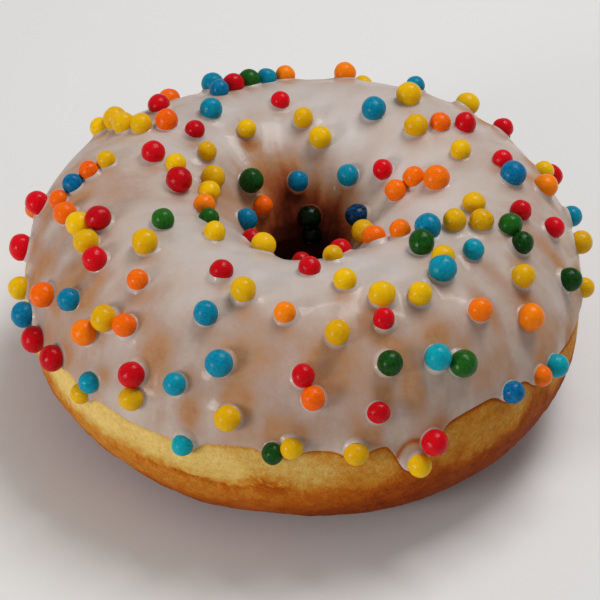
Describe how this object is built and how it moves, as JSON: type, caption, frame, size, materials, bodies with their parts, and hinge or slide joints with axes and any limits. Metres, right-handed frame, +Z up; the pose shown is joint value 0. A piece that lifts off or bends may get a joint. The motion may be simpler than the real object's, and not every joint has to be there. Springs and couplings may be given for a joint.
{
  "type": "sprinkle frosted doughnut",
  "caption": "Ring doughnut with a browned crust, a pale band round its side, a thin white glaze over the top and round sugar sprinkles in mixed colours.",
  "frame": {"origin": "on the surface that the doughnut stands on, below the middle of its outline", "axes": "+Z up along the hole, -Y towards the side with the lowest drip of glaze, +X to that side's right"},
  "size_m": [0.0932, 0.0928, 0.0415],
  "materials": {
    "crust": "fried dough, golden brown with a pale band",
    "icing": "thin white sugar glaze, slightly see-through",
    "sprinkle_red": "smooth sugar ball",
    "sprinkle_yellow": "smooth sugar ball",
    "sprinkle_orange": "smooth sugar ball",
    "sprinkle_green": "smooth sugar ball",
    "sprinkle_blue": "smooth sugar ball"
  },
  "bodies": {
    "root": {"dough": "crust", "icing": "icing"}
  },
  "joints": []
}
